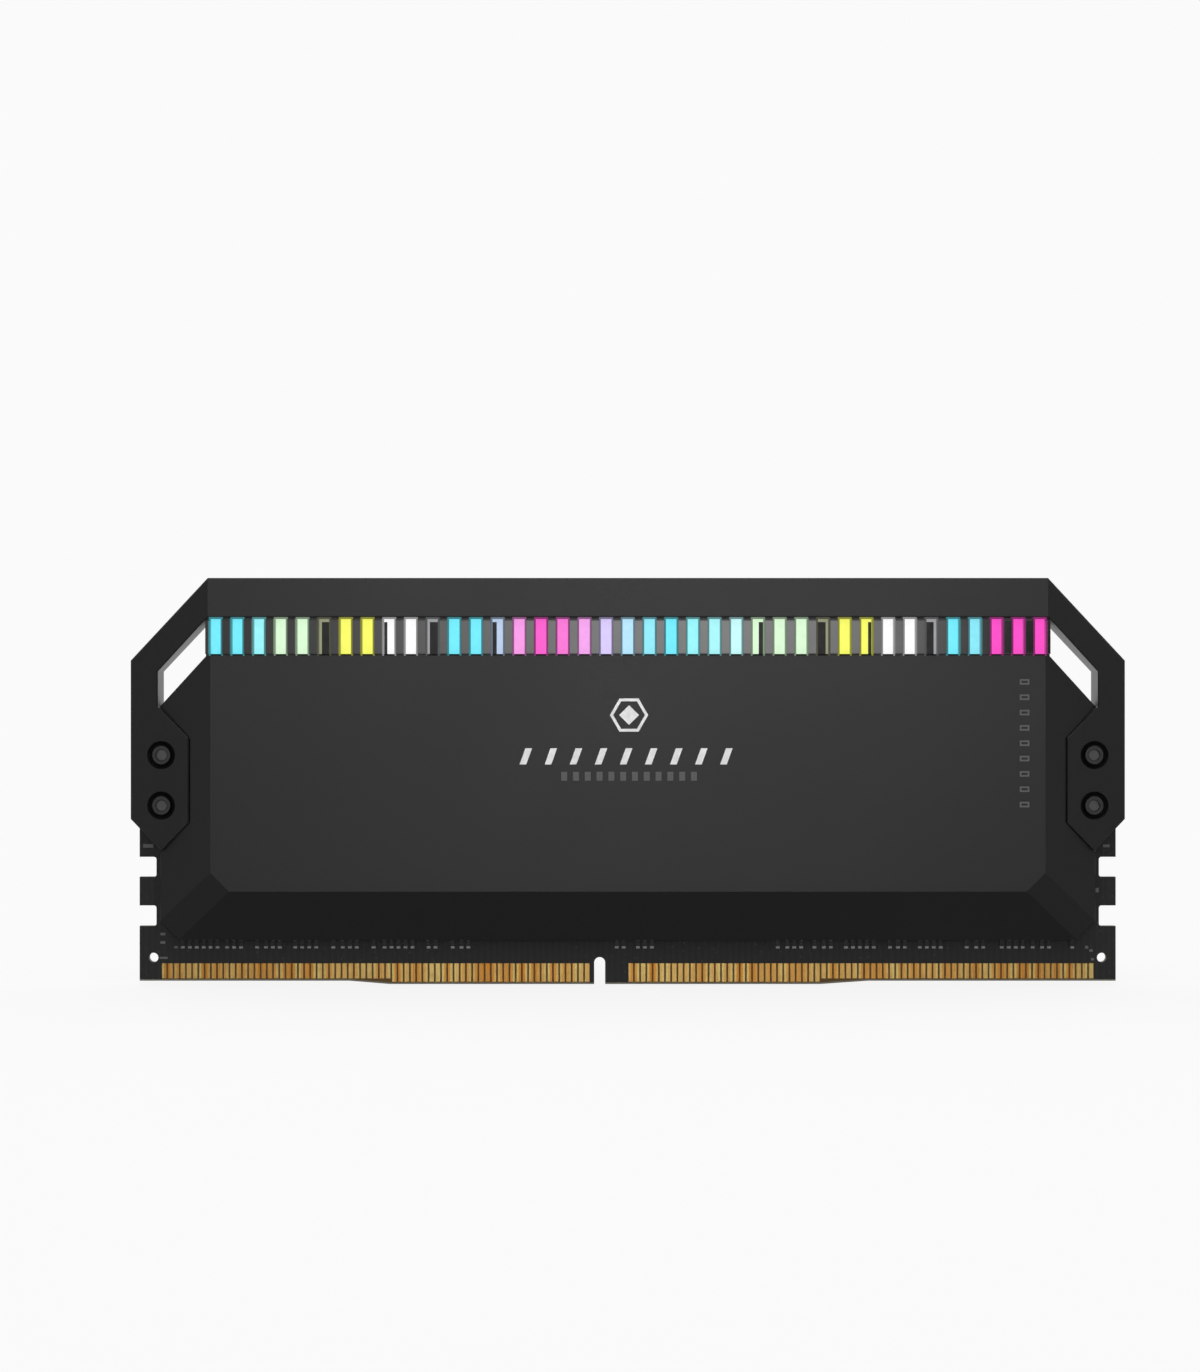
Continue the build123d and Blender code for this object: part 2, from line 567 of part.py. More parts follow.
with BuildPart() as light_carrier:
    block((-CARRIER_HALF, CARRIER_HALF), (-CARRIER_OUTER_Y, CARRIER_OUTER_Y),
          (CARRIER_BASE_BOTTOM, CARRIER_BASE_TOP))
    for rail in ((-CARRIER_OUTER_Y, -CARRIER_INNER_Y), (CARRIER_INNER_Y, CARRIER_OUTER_Y)):
        block((-CARRIER_HALF, CARRIER_HALF), rail, (CARRIER_BASE_TOP, FIN_BOTTOM))
        block((-GRILLE_HALF, GRILLE_HALF), rail, (CARRIER_WING_BOTTOM, FIN_BOTTOM))
        posts = [(side * x, sum(rail) / 2, (FIN_BOTTOM + POST_TOP) / 2)
                 for x in POST_X for side in (-1, 1)]
        with Locations(*posts):
            Box(POST_WIDTH, CARRIER_OUTER_Y - CARRIER_INNER_Y, POST_TOP - FIN_BOTTOM)
    for side in (-1, 1):
        cap = sorted((side * CARRIER_CAP_INNER, side * GRILLE_HALF))
        block(cap, (-CARRIER_OUTER_Y, CARRIER_OUTER_Y), (CARRIER_WING_BOTTOM, GUIDE_TOP))
    with Locations(*[(x, 0, (CARRIER_BASE_BOTTOM + CARRIER_BASE_TOP) / 2) for x in led_xs]):
        Box(LED_WINDOW, LED_WINDOW, CARRIER_BASE_TOP - CARRIER_BASE_BOTTOM, mode=Mode.SUBTRACT)
save(light_carrier, "light_carrier")

with BuildPart() as led_board:
    half_length, half_width = LED_BOARD_HALF
    block((-half_length, half_length), (-half_width, half_width), (LED_BOARD_BOTTOM, LED_BOARD_TOP))
    fillet(led_board.edges().filter_by(Axis.Z), radius=LED_BOARD_CORNER)
save(led_board, "led_board")

with BuildPart() as leds:
    with Locations(*[(x, 0, LED_BOARD_TOP + LED_SIZE[2] / 2) for x in led_xs]):
        Box(*LED_SIZE)
save(leds, "leds")

with BuildPart() as led_flex:
    block((-FLEX_HALF_WIDTH, FLEX_HALF_WIDTH), FLEX_Y, (FLEX_BOTTOM, LED_BOARD_BOTTOM))
save(led_flex, "led_flex")

with BuildPart() as flex_socket:
    block((-SOCKET_HALF_WIDTH, SOCKET_HALF_WIDTH), (-BOARD_HALF - SOCKET_HEIGHT, -BOARD_HALF), SOCKET_Z)
    chamfer(flex_socket.faces().sort_by(Axis.Y)[0].edges(), length=SOCKET_CHAMFER)
    mouth_x = FLEX_HALF_WIDTH + SOCKET_PLAY
    mouth_y = (FLEX_Y[0] - SOCKET_PLAY, FLEX_Y[1] + SOCKET_PLAY)
    block((-mouth_x, mouth_x), mouth_y, (FLEX_BOTTOM, SOCKET_Z[1]), Mode.SUBTRACT)
save(flex_socket, "flex_socket")

# ======================================================================= printed marks
mark_plane = Plane.XZ.offset(FACE_Y)
dash_width, dash_height = DASH_SIZE
with BuildPart() as front_print_bright:
    # a six-sided ring round a diamond
    with BuildSketch(mark_plane):
        with Locations(EMBLEM_PLACE):
            RegularPolygon(EMBLEM_RADIUS, 6)
            RegularPolygon(EMBLEM_RADIUS - EMBLEM_BAND, 6, mode=Mode.SUBTRACT)
            Rectangle(EMBLEM_CORE, EMBLEM_CORE, rotation=45)
    extrude(amount=INK)
    # a row of leaning dashes
    for index in range(DASH_COUNT):
        x = EMBLEM_PLACE[0] + (index - (DASH_COUNT - 1) / 2) * DASH_PITCH
        foot = DASH_ROW_Z - dash_height / 2
        head = DASH_ROW_Z + dash_height / 2
        lean = DASH_LEAN / 2
        left = x - dash_width / 2
        right = x + dash_width / 2 - DASH_LEAN
        dash = [(left - lean, foot), (right - lean, foot), (right + lean, head), (left + lean, head)]
        slab(dash, -FACE_Y, -FACE_Y - INK)
save(front_print_bright, "front_print_bright")

with BuildPart() as front_print_dim:
    with BuildSketch(mark_plane):
        for index in range(TICK_COUNT):
            x = EMBLEM_PLACE[0] + (index - (TICK_COUNT - 1) / 2) * TICK_PITCH
            with Locations((x, TICK_ROW_Z)):
                Rectangle(*TICK_SIZE)
        for index in range(COLUMN_COUNT):
            with Locations((COLUMN_X, COLUMN_TOP_Z - index * COLUMN_PITCH)):
                Rectangle(*COLUMN_SIZE)
                Rectangle(*(side - 2 * COLUMN_LINE for side in COLUMN_SIZE), mode=Mode.SUBTRACT)
    extrude(amount=INK)
save(front_print_dim, "front_print_dim")

for front, name in ((front_print_bright, "rear_print_bright"), (front_print_dim, "rear_print_dim")):
    with BuildPart() as turned:
        add(front.part.rotate(Axis.Z, 180))
    save(turned, name)

# small legend dashes on the bare ends of the board, on the front
with BuildPart() as board_legend:
    for x, z, width, height in LEGEND:
        block((x - width / 2, x + width / 2), (-BOARD_HALF - INK, -BOARD_HALF),
              (z - height / 2, z + height / 2))
save(board_legend, "board_legend")
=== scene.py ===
import math

import bpy
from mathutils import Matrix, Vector


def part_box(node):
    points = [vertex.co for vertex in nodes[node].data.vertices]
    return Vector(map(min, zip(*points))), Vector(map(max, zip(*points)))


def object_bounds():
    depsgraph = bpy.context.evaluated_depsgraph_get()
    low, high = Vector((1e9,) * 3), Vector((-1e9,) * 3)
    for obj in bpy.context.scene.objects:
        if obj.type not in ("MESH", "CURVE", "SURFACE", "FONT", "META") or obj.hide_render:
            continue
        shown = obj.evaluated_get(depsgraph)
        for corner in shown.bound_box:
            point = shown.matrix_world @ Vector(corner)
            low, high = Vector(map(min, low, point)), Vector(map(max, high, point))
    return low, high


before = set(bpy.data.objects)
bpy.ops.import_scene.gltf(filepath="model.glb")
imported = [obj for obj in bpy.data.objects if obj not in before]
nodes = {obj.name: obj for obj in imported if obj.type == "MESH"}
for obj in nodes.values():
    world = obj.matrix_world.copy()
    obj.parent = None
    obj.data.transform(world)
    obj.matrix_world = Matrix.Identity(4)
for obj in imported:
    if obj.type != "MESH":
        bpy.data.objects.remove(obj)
cad_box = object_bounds()

MM = 0.001


# ------------------------------------------------------------------ colours and node helpers
def linear(red, green, blue):
    """An sRGB colour given as 0-255 numbers, as linear values."""
    values = []
    for channel in (red, green, blue):
        share = channel / 255
        low = share / 12.92
        high = ((share + 0.055) / 1.055) ** 2.4
        values.append(low if share <= 0.04045 else high)
    return (*values, 1.0)


def grey(value):
    return (value, value, value, 1.0)


def set_sockets(made, **values):
    """Sets a node's input sockets by name. An underscore stands for a space."""
    for name, value in values.items():
        made.inputs[name.replace("_", " ")].default_value = value


class Graph:
    """A node tree with short calls for the nodes in it. A value is a socket, a number or a colour."""

    def __init__(self, tree):
        self.tree = tree

    def node(self, kind, **settings):
        made = self.tree.nodes.new(kind)
        for key, value in settings.items():
            setattr(made, key, value)
        return made

    def link(self, source, target):
        self.tree.links.new(source, target)

    def put(self, value, socket):
        if isinstance(value, (int, float, tuple)):
            socket.default_value = value
        else:
            self.link(value, socket)

    def axis(self, name, source):
        made = self.node("ShaderNodeSeparateXYZ")
        self.link(source, made.inputs[0])
        return made.outputs[name]

    def math(self, operation, *values):
        """The values under one Math operation. More than two are taken from the left, two at a time."""
        total = values[0]
        for value in values[1:] or (0.0,):
            made = self.node("ShaderNodeMath", operation=operation)
            self.put(total, made.inputs[0])
            self.put(value, made.inputs[1])
            total = made.outputs[0]
        return total

    def apart(self, source, middle):
        """How far source is from middle, on either side."""
        return self.math("ABSOLUTE", self.math("SUBTRACT", source, middle))

    def span(self, source, low, high, to_low, to_high, smooth=False):
        """Maps source from low..high to to_low..to_high, clamped."""
        made = self.node("ShaderNodeMapRange")
        if smooth:
            made.interpolation_type = "SMOOTHSTEP"
        set_sockets(made, From_Min=low, From_Max=high, To_Min=to_low, To_Max=to_high)
        self.link(source, made.inputs["Value"])
        return made.outputs["Result"]

    def blend(self, factor, first, second, mode="MIX"):
        """Two colours mixed by factor."""
        made = self.node("ShaderNodeMix", data_type="RGBA", blend_type=mode)
        for value, socket in zip((factor, first, second), (made.inputs["Factor"], *made.inputs[6:8])):
            self.put(value, socket)
        return made.outputs[2]


class Shader(Graph):
    """A material with one Principled shader. Its textures are placed in the row's own frame."""

    def __init__(self, name, **settings):
        self.material = bpy.data.materials.new(name)
        self.material.use_nodes = True
        super().__init__(self.material.node_tree)
        self.main = self.tree.nodes["Principled BSDF"]
        self.place = self.node("ShaderNodeTexCoord").outputs["Object"]
        set_sockets(self.main, **settings)

    def feed(self, socket, source):
        self.link(source, self.main.inputs[socket])

    def at(self, name):
        """One coordinate of the place."""
        return self.axis(name, self.place)

    def outward(self):
        """How squarely the surface faces the front or the back, from 0 to 1."""
        normal = self.node("ShaderNodeNewGeometry").outputs["Normal"]
        return self.math("ABSOLUTE", self.axis("Y", normal))

    def stretched(self, scale):
        """The place, scaled on each axis."""
        made = self.node("ShaderNodeMapping")
        set_sockets(made, Scale=scale)
        self.link(self.place, made.inputs["Vector"])
        return made.outputs["Vector"]

    def noise(self, scale, detail=3.0, roughness=0.55, vector=None):
        made = self.node("ShaderNodeTexNoise")
        set_sockets(made, Scale=scale, Detail=detail, Roughness=roughness)
        self.link(vector or self.place, made.inputs["Vector"])
        return made.outputs["Fac"]

    def bands(self, direction, vector=None, **settings):
        """Stripes that follow each other along one axis."""
        made = self.node("ShaderNodeTexWave", wave_type="BANDS", bands_direction=direction)
        set_sockets(made, **settings)
        self.link(vector or self.place, made.inputs["Vector"])
        return made.outputs["Fac"]

    def bump(self, height, strength, distance, under=None):
        made = self.node("ShaderNodeBump")
        set_sockets(made, Strength=strength, Distance=distance)
        self.link(height, made.inputs["Height"])
        if under:
            self.link(under, made.inputs["Normal"])
        return made.outputs["Normal"]


def dress(material, *names):
    """Gives CAD nodes a material."""
    for name in names:
        piece = nodes[name]
        piece.data.materials.clear()
        piece.data.materials.append(material)


def named(start):
    """The CAD nodes whose names start alike."""
    return [name for name in nodes if name.startswith(start)]


# ------------------------------------------------------------------ spreaders, frame and screws
SCREW_HEAD_RADIUS = 1.36 * MM
SOCKET_RADIUS = 0.76 * MM
COUNTERBORE_RADIUS = 1.92 * MM
SOCKET_LINE = 0.03 * MM      # half the width of the painted shade line round each socket, and of its soft edge
SOCKET_LINE_EDGE = 0.12 * MM
DYE = 0.026                  # the black of the anodised faces
COOL = (0.99, 1.0, 1.0)
WARM = (1.0, 1.0, 0.99)
CLOUDING = 0.03              # how far the dye's clouds go either way
PAINTED_SHADE_BLACK = grey(0.018)     # painted shade for the counterbores and the eased edges
EASED_EDGE_SHADE = 0.25        # how far the eased edges go toward the counterbores' painted shade


def from_screw_axis(shader):
    """The distance to the nearest screw's axis. There are two screws a side, one above the other."""
    low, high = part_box("arm_screws_front")
    reach = SCREW_HEAD_RADIUS
    across = shader.math("SUBTRACT", shader.math("ABSOLUTE", shader.at("X")), high[0] - reach)
    radii = []
    for row in (low[2] + reach, high[2] - reach):
        up = shader.math("SUBTRACT", shader.at("Z"), row)
        squares = [shader.math("MULTIPLY", side, side) for side in (across, up)]
        radii.append(shader.math("SQRT", shader.math("ADD", *squares)))
    return shader.math("MINIMUM", *radii)


def anodised(name):
    """Black anodised aluminium with a fine bead-blasted grain. The counterbores carry painted shade, dark
    and matt.
    """
    shader = Shader(name, Metallic=0.0)
    cloud = shader.noise(38, detail=2.0)
    grain = shader.noise(5200, detail=2.0)
    pores = shader.noise(1700, detail=2.0, roughness=0.5)
    dark = tuple(channel * DYE * (1 - CLOUDING) for channel in COOL) + (1.0,)
    light = tuple(channel * DYE * (1 + CLOUDING) for channel in WARM) + (1.0,)
    speck = shader.span(pores, 0.35, 0.70, 0.98, 1.02)
    colour = shader.blend(1.0, shader.blend(cloud, dark, light), speck, "MULTIPLY")
    # painted shade: the counterbores are dark, matt and less glossy
    counterbore_shade = shader.span(from_screw_axis(shader), 0.97 * COUNTERBORE_RADIUS, COUNTERBORE_RADIUS, 1.0, 0.0)
    # painted shade: the eased edges are a little darker and duller than the faces
    outward = shader.outward()
    eased_edge_shade = shader.math("MULTIPLY", shader.span(outward, 0.50, 0.60, 0.0, 1.0),
                        shader.span(outward, 0.80, 0.88, EASED_EDGE_SHADE, 0.0))
    painted_shade = shader.math("MAXIMUM", counterbore_shade, eased_edge_shade)
    shader.feed("Base Color", shader.blend(painted_shade, colour, PAINTED_SHADE_BLACK))
    rough = shader.math("ADD", shader.span(cloud, 0.3, 0.7, 0.29, 0.32),
                        shader.span(pores, 0.3, 0.7, -0.008, 0.008))
    shader.feed("Roughness", shader.blend(painted_shade, rough, grey(0.9)))
    shader.feed("Specular IOR Level", shader.span(painted_shade, 0.0, 1.0, 0.5, 0.08))
    fine = shader.bump(grain, 0.06, 0.03 * MM)
    shader.feed("Normal", shader.bump(pores, 0.01, 0.06 * MM, under=fine))
    return shader.material


def black_oxide(name):
    """The screws: blackened heads, lighter inside the socket, with a line of painted shade round the
    socket's edge.
    """
    shader = Shader(name, Metallic=1.0)
    turned = shader.noise(2200, detail=3.0)
    radius = from_screw_axis(shader)
    head = shader.blend(turned, grey(0.066), grey(0.091))
    # lighter inside the socket
    socket_inside = shader.blend(turned, grey(0.130), grey(0.165))
    colour = shader.blend(shader.span(radius, 0.95 * SOCKET_RADIUS, SOCKET_RADIUS, 1.0, 0.0), head, socket_inside)
    # painted shade: a dark line round the socket's edge
    socket_edge_shade = shader.span(shader.apart(radius, SOCKET_RADIUS), SOCKET_LINE, SOCKET_LINE_EDGE, 0.55, 0.0)
    shader.feed("Base Color", shader.blend(socket_edge_shade, colour, grey(0.02)))
    shader.feed("Roughness", shader.span(turned, 0.3, 0.7, 0.34, 0.46))
    shader.feed("Normal", shader.bump(turned, 0.12, 0.02 * MM))
    return shader.material


# ------------------------------------------------------------------ board and contacts
MASK_BLACK = linear(38, 39, 39), linear(46, 47, 46)
TRACK_BLACK = linear(54, 56, 54)
PLATED_HOLE = linear(82, 82, 76)
BROWN_RESIN = linear(122, 90, 42)
GLASS_FIBRE = linear(132, 128, 112), linear(186, 182, 166)
CONTACT_PITCH = 0.85 * MM
GOLD = linear(238, 158, 64), linear(255, 228, 144)
TARNISH = linear(206, 158, 92)
WIPE_STRETCH = (9000, 9000, 120)


def between_contacts(shader):
    """1 on the two stretches of board that carry contacts, 0 elsewhere."""
    stretches = []
    for row in ("contacts_front_left", "contacts_front_right"):
        low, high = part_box(row)
        middle, half = (low[0] + high[0]) / 2, (high[0] - low[0]) / 2
        stretches.append(shader.math("LESS_THAN", shader.apart(shader.at("X"), middle), half))
    below_top = shader.math("LESS_THAN", shader.at("Z"), high[2])
    return shader.math("MULTIPLY", shader.math("ADD", *stretches), below_top)


def solder_mask(name):
    """The board: matt black mask with raised tracks, plated holes and bare glass-fibre edges."""
    shader = Shader(name, Specular_IOR_Level=0.5)
    tracks = shader.bands("X", shader.stretched((1.0, 1.0, 0.25)),
                          Scale=370, Distortion=1.2, Detail=1.0, Detail_Scale=0.6)
    copper = shader.span(tracks, 0.55, 0.75, 0.0, 1.0)
    holes = shader.node("ShaderNodeTexVoronoi")
    set_sockets(holes, Scale=900)
    shader.link(shader.place, holes.inputs["Vector"])
    via = shader.span(holes.outputs["Distance"], 0.10, 0.16, 1.0, 0.0)
    weave = shader.noise(1500, detail=3.0)
    mask = shader.blend(weave, *MASK_BLACK)
    mask = shader.blend(shader.math("MULTIPLY", copper, 0.30), mask, TRACK_BLACK)
    mask = shader.blend(shader.math("MULTIPLY", via, 0.5), mask, PLATED_HOLE)
    # there is no mask between the contacts
    mask = shader.blend(between_contacts(shader), mask, BROWN_RESIN)
    # the faces that were routed or bevelled show the laminate: pale glass in resin
    layers = shader.bands("Y", Scale=1200, Distortion=2.0)
    laminate = shader.blend(layers, *GLASS_FIBRE)
    cut = shader.span(shader.outward(), 0.80, 0.95, 1.0, 0.0)
    shader.feed("Base Color", shader.blend(cut, mask, laminate))
    shader.feed("Roughness", shader.blend(cut, shader.span(weave, 0.3, 0.7, 0.46, 0.60), grey(0.75)))
    relief = shader.math("ADD", shader.math("MULTIPLY", copper, 0.6), shader.math("MULTIPLY", weave, 0.3))
    shader.feed("Normal", shader.bump(relief, 0.30, 0.04 * MM))
    return shader.material


def gold_plate(name):
    """Hard gold: each contact differs a little in tone, and carries fine wipe marks of insertion."""
    shader = Shader(name, Metallic=1.0)
    place = shader.math("DIVIDE", shader.at("X"), CONTACT_PITCH)
    number = shader.math("FLOOR", shader.math("ADD", place, 0.5))
    each = shader.node("ShaderNodeTexWhiteNoise", noise_dimensions="1D")
    shader.link(number, each.inputs["W"])
    wipes = shader.noise(1.0, detail=4.0, vector=shader.stretched(WIPE_STRETCH))
    streak = shader.span(wipes, 0.3, 0.7, 0.82, 1.12)
    colour = shader.blend(1.0, shader.blend(each.outputs["Value"], *GOLD), streak, "MULTIPLY")
    patch = shader.span(shader.noise(900, detail=2.0), 0.4, 0.7, 0.0, 0.4)
    shader.feed("Base Color", shader.blend(patch, colour, TARNISH))
    shader.feed("Roughness", shader.span(wipes, 0.3, 0.7, 0.24, 0.36))
    shader.feed("Normal", shader.bump(wipes, 0.05, 0.02 * MM))
    return shader.material


# ------------------------------------------------------------------ lit strip and grille
CYAN = (117, 238, 254)
TURQUOISE = (148, 238, 253)
AZURE = (138, 234, 250)
AQUA = (154, 247, 252)
PALE_AQUA = (171, 248, 252)
ICE = (200, 254, 254)
SKY = (184, 232, 255)
PALE_BLUE = (188, 208, 236)
MINT = (221, 253, 215)
LEMON = (251, 253, 106)
WHITE = (254, 254, 254)
LILAC = (219, 205, 253)
ORCHID = (247, 168, 240)
PINK = (250, 157, 233)
ROSE = (250, 122, 216)
HOT_PINK = (252, 98, 208)
MAGENTA = (254, 80, 201)
DIM_CREAM = (150, 152, 124)  # the slots with a post in the middle get less light
DIM_WHITE = (158, 160, 162)
LIGHT_ZONES = (              # colour and how many slots it fills, from the left
    (CYAN, 2), (AQUA, 1), (MINT, 2), (DIM_CREAM, 1), (LEMON, 2), (WHITE, 2), (DIM_WHITE, 1),
    (CYAN, 2), (PALE_BLUE, 1), (PINK, 1), (HOT_PINK, 1), (ROSE, 1), (ORCHID, 1), (LILAC, 1),
    (SKY, 1), (TURQUOISE, 1), (CYAN, 1), (AQUA, 1), (PALE_AQUA, 1), (ICE, 1), (MINT, 3),
    (DIM_CREAM, 1), (LEMON, 2), (WHITE, 2), (DIM_WHITE, 1), (CYAN, 1), (AZURE, 1), (MAGENTA, 3),
)
GLOW = 1.0
PAINTED_SLOT_GLOW = 0.26             # the painted glow beside and over the grille's slots, as a share of the strip's light
SLOT_PITCH = 112.0 / 38 * MM
SLOT_HALF_WIDTH = 0.725 * MM
RIM = 0.22 * MM              # the width beside each slot that carries the painted glow
RIM_SOFTNESS = 0.04 * MM
SLOT_SOFTNESS = 0.03 * MM
LIP = 0.10 * MM              # how far under the guide's top the slots end
LIP_SOFTNESS = 0.02 * MM
FOOT = 0.20 * MM             # how far over the spreader the polish starts
POLISH_SOFTNESS = 0.05 * MM
END_POLISH = 0.60            # how much polish is left past the fins' ends
POLISH = 0.76
FIN_BLACK = grey(0.008), grey(0.013)
# painted light for the fins' ends
FIN_END_PAINTED_LIGHT = grey(0.05)
SLOT_WALL = grey(0.40)


def zone_colour(shader):
    """The light's colour at each place along the strip."""
    slots = sum(count for _, count in LIGHT_ZONES)
    half = slots * SLOT_PITCH / 2
    along = shader.span(shader.at("X"), -half, half, 0.0, 1.0)
    ramp = shader.node("ShaderNodeValToRGB")
    ramp.color_ramp.interpolation = "CONSTANT"
    stops = ramp.color_ramp.elements
    stops.remove(stops[1])
    done = 0
    for index, (colour, count) in enumerate(LIGHT_ZONES):
        stop = stops[0] if index == 0 else stops.new(done / slots)
        stop.position = done / slots
        stop.color = linear(*colour)
        done += count
    shader.link(along, ramp.inputs["Fac"])
    return ramp.outputs["Color"]


def from_slot(shader):
    """The distance along X to the middle of the nearest slot."""
    place = shader.math("DIVIDE", shader.at("X"), SLOT_PITCH)
    return shader.math("MULTIPLY", shader.apart(place, shader.math("ROUND", place)), SLOT_PITCH)


def gloss_black(name):
    """The grille: polished smoke-black faces, frosted walls that pick up the light in the slots, and a
    painted glow beside and over each slot.
    """
    shader = Shader(name)
    haze = shader.noise(240, detail=3.0)
    outward = shader.outward()
    off = from_slot(shader)
    guide_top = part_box("light_guide")[1][2] - LIP
    rim_edge = SLOT_HALF_WIDTH + RIM
    # painted glow: the strip's light is painted on the thin stretch beside each slot, and on the band over
    # it
    rim = shader.math("MULTIPLY",
                      shader.span(off, SLOT_HALF_WIDTH - SLOT_SOFTNESS, SLOT_HALF_WIDTH, 0.0, 1.0),
                      shader.span(off, rim_edge - RIM_SOFTNESS, rim_edge + RIM_SOFTNESS, 1.0, 0.0))
    over = shader.math("MULTIPLY",
                       shader.span(off, SLOT_HALF_WIDTH - SLOT_SOFTNESS, SLOT_HALF_WIDTH, 1.0, 0.0),
                       shader.span(shader.at("Z"), guide_top - LIP_SOFTNESS, guide_top + LIP_SOFTNESS,
                                   0.0, 1.0))
    lit = shader.math("MAXIMUM", rim, over)
    shader.feed("Emission Color", zone_colour(shader))
    shader.feed("Emission Strength", shader.math("MULTIPLY", lit, PAINTED_SLOT_GLOW))
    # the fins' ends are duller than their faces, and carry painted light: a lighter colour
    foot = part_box("front_heatspreader")[1][2] + FOOT
    head = guide_top - RIM / 2
    middle, half = (foot + head) / 2, (head - foot) / 2
    from_middle = shader.apart(shader.at("Z"), middle)
    ends = shader.span(from_middle, half, half + POLISH_SOFTNESS, 0.0, 1.0)
    face = shader.blend(ends, shader.blend(haze, *FIN_BLACK), FIN_END_PAINTED_LIGHT)
    # the walls are pale in the slots, and black at the strip's two ends
    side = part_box("front_grille")[1][0]
    outer = shader.span(shader.math("ABSOLUTE", shader.at("X")), side - 0.2 * MM, side - 0.1 * MM, 0.0, 1.0)
    plain = shader.math("MAXIMUM", outer, shader.span(outward, 0.10, 0.60, 0.0, 1.0))
    shader.feed("Base Color", shader.blend(plain, SLOT_WALL, face))
    polish = shader.math("MULTIPLY", shader.span(outward, 0.85, 0.99, 0.0, 1.0),
                         shader.span(from_middle, half - RIM, half + POLISH_SOFTNESS, 1.0, END_POLISH),
                         shader.span(off, rim_edge - RIM_SOFTNESS, rim_edge + RIM_SOFTNESS, 0.0, 1.0))
    shader.feed("Specular IOR Level", shader.math("MULTIPLY", polish, POLISH))
    gloss = shader.span(haze, 0.3, 0.7, 0.06, 0.09)
    shader.feed("Roughness", shader.blend(polish, grey(0.6), gloss))
    shader.feed("Normal", shader.bump(shader.noise(300, detail=1.0), 0.02, 0.1 * MM))
    return shader.material


def light_bar(name):
    """Frosted acrylic, lit in coloured zones, a little brighter along its middle."""
    shader = Shader(name, Roughness=0.6, Specular_IOR_Level=0.2)
    low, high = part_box("light_guide")
    brightest = (low[2] + high[2]) / 2 + 1.0 * MM
    level = shader.span(shader.apart(shader.at("Z"), brightest), 0.8 * MM, 3.2 * MM, 1.0, 0.90, smooth=True)
    frost = shader.span(shader.noise(1400, detail=3.0), 0.3, 0.7, 0.96, 1.04)
    level = shader.math("MULTIPLY", level, frost)
    shader.feed("Emission Color", shader.blend(1.0, zone_colour(shader), level, "MULTIPLY"))
    set_sockets(shader.main, Emission_Strength=GLOW)
    shader.feed("Base Color", shader.blend(frost, grey(0.05), grey(0.07)))
    shader.feed("Normal", shader.bump(shader.noise(2600, detail=2.0), 0.1, 0.03 * MM))
    return shader.material


# ------------------------------------------------------------------ plain materials, and who wears what
def moulded(name, first, second, scale=900, roughness=(0.5, 0.65), depth=0.03 * MM):
    """A moulded, printed or fired surface: two close colours, a fine texture."""
    shader = Shader(name)
    texture = shader.noise(scale, detail=4.0)
    shader.feed("Base Color", shader.blend(texture, first, second))
    shader.feed("Roughness", shader.span(texture, 0.3, 0.7, *roughness))
    shader.feed("Normal", shader.bump(texture, 0.2, depth))
    return shader.material


def metal(name, first, second, roughness, scale=2200):
    """A plain metal with a fine turned or tinned surface."""
    shader = Shader(name, Metallic=1.0)
    texture = shader.noise(scale, detail=3.0)
    shader.feed("Base Color", shader.blend(texture, first, second))
    shader.feed("Roughness", shader.span(texture, 0.3, 0.7, *roughness))
    shader.feed("Normal", shader.bump(texture, 0.12, 0.02 * MM))
    return shader.material


def dress_outside():
    dress(anodised("black_anodised"), "front_heatspreader", "rear_heatspreader", "top_frame")
    dress(solder_mask("board_mask"), "circuit_board")
    dress(gold_plate("gold"), *named("contacts_"))
    dress(gloss_black("smoke_black"), "front_grille", "rear_grille")
    dress(light_bar("lit_acrylic"), "light_guide")
    dress(moulded("carrier_black", grey(0.020), grey(0.032), roughness=(0.30, 0.42)), "light_carrier")
    dress(black_oxide("black_oxide"), "arm_screws_front", "arm_screws_rear")
    dress(moulded("resistor_glaze", grey(0.010), grey(0.016), roughness=(0.3, 0.4)), "series_resistors")
    dress(metal("tin", grey(0.30), grey(0.40), (0.35, 0.5)), "resistor_terminals")


def dress_inside():
    dress(moulded("chip_epoxy", grey(0.012), grey(0.020)),
          "power_management_chip", "hub_chip", *named("dram_chip_"))
    dress(moulded("iron_powder", grey(0.09), grey(0.14), scale=2600), "power_inductors")
    dress(moulded("capacitor_ceramic", linear(122, 98, 72), linear(148, 122, 92)), "decoupling_capacitors")
    dress(moulded("gap_filler", linear(150, 158, 172), linear(168, 174, 186),
                  scale=600, roughness=(0.8, 0.9), depth=0.08 * MM), *named("thermal_pad_"))
    dress(moulded("lamp_board", grey(0.014), grey(0.022)), "led_board")
    dress(moulded("lamp_white", grey(0.75), grey(0.85), roughness=(0.25, 0.4)), "leds")
    dress(moulded("polyimide", linear(180, 112, 34), linear(200, 130, 48), roughness=(0.25, 0.4)),
          "led_flex")
    dress(moulded("ivory_nylon", linear(214, 206, 184), linear(226, 218, 198)), "flex_socket")


def dress_prints():
    dress(metal("silver_foil", linear(250, 252, 252), linear(254, 254, 254), (0.30, 0.38)),
          "front_print_bright", "rear_print_bright")
    dress(moulded("dim_ink", linear(126, 127, 126), linear(144, 145, 144), scale=3000),
          "front_print_dim", "rear_print_dim")
    dress(moulded("legend_ink", linear(120, 121, 120), linear(140, 141, 140), scale=3000), "board_legend")


# ------------------------------------------------------------------ floor, light and camera
PALE = linear(250, 250, 250)
FLOOR_RADIUS = 6.0
FLOOR_DROP = 0.01 * MM
FLOOR_NEAR = 0.10            # the lights' share of the floor's tone fades from here ...
FLOOR_FAR = 0.45             # ... to here
FLOOR_SHARE = 0.16           # and this is the share near the part
FLOOR_LIFT = 0.22            # makes up for what the floor would get from lights in front

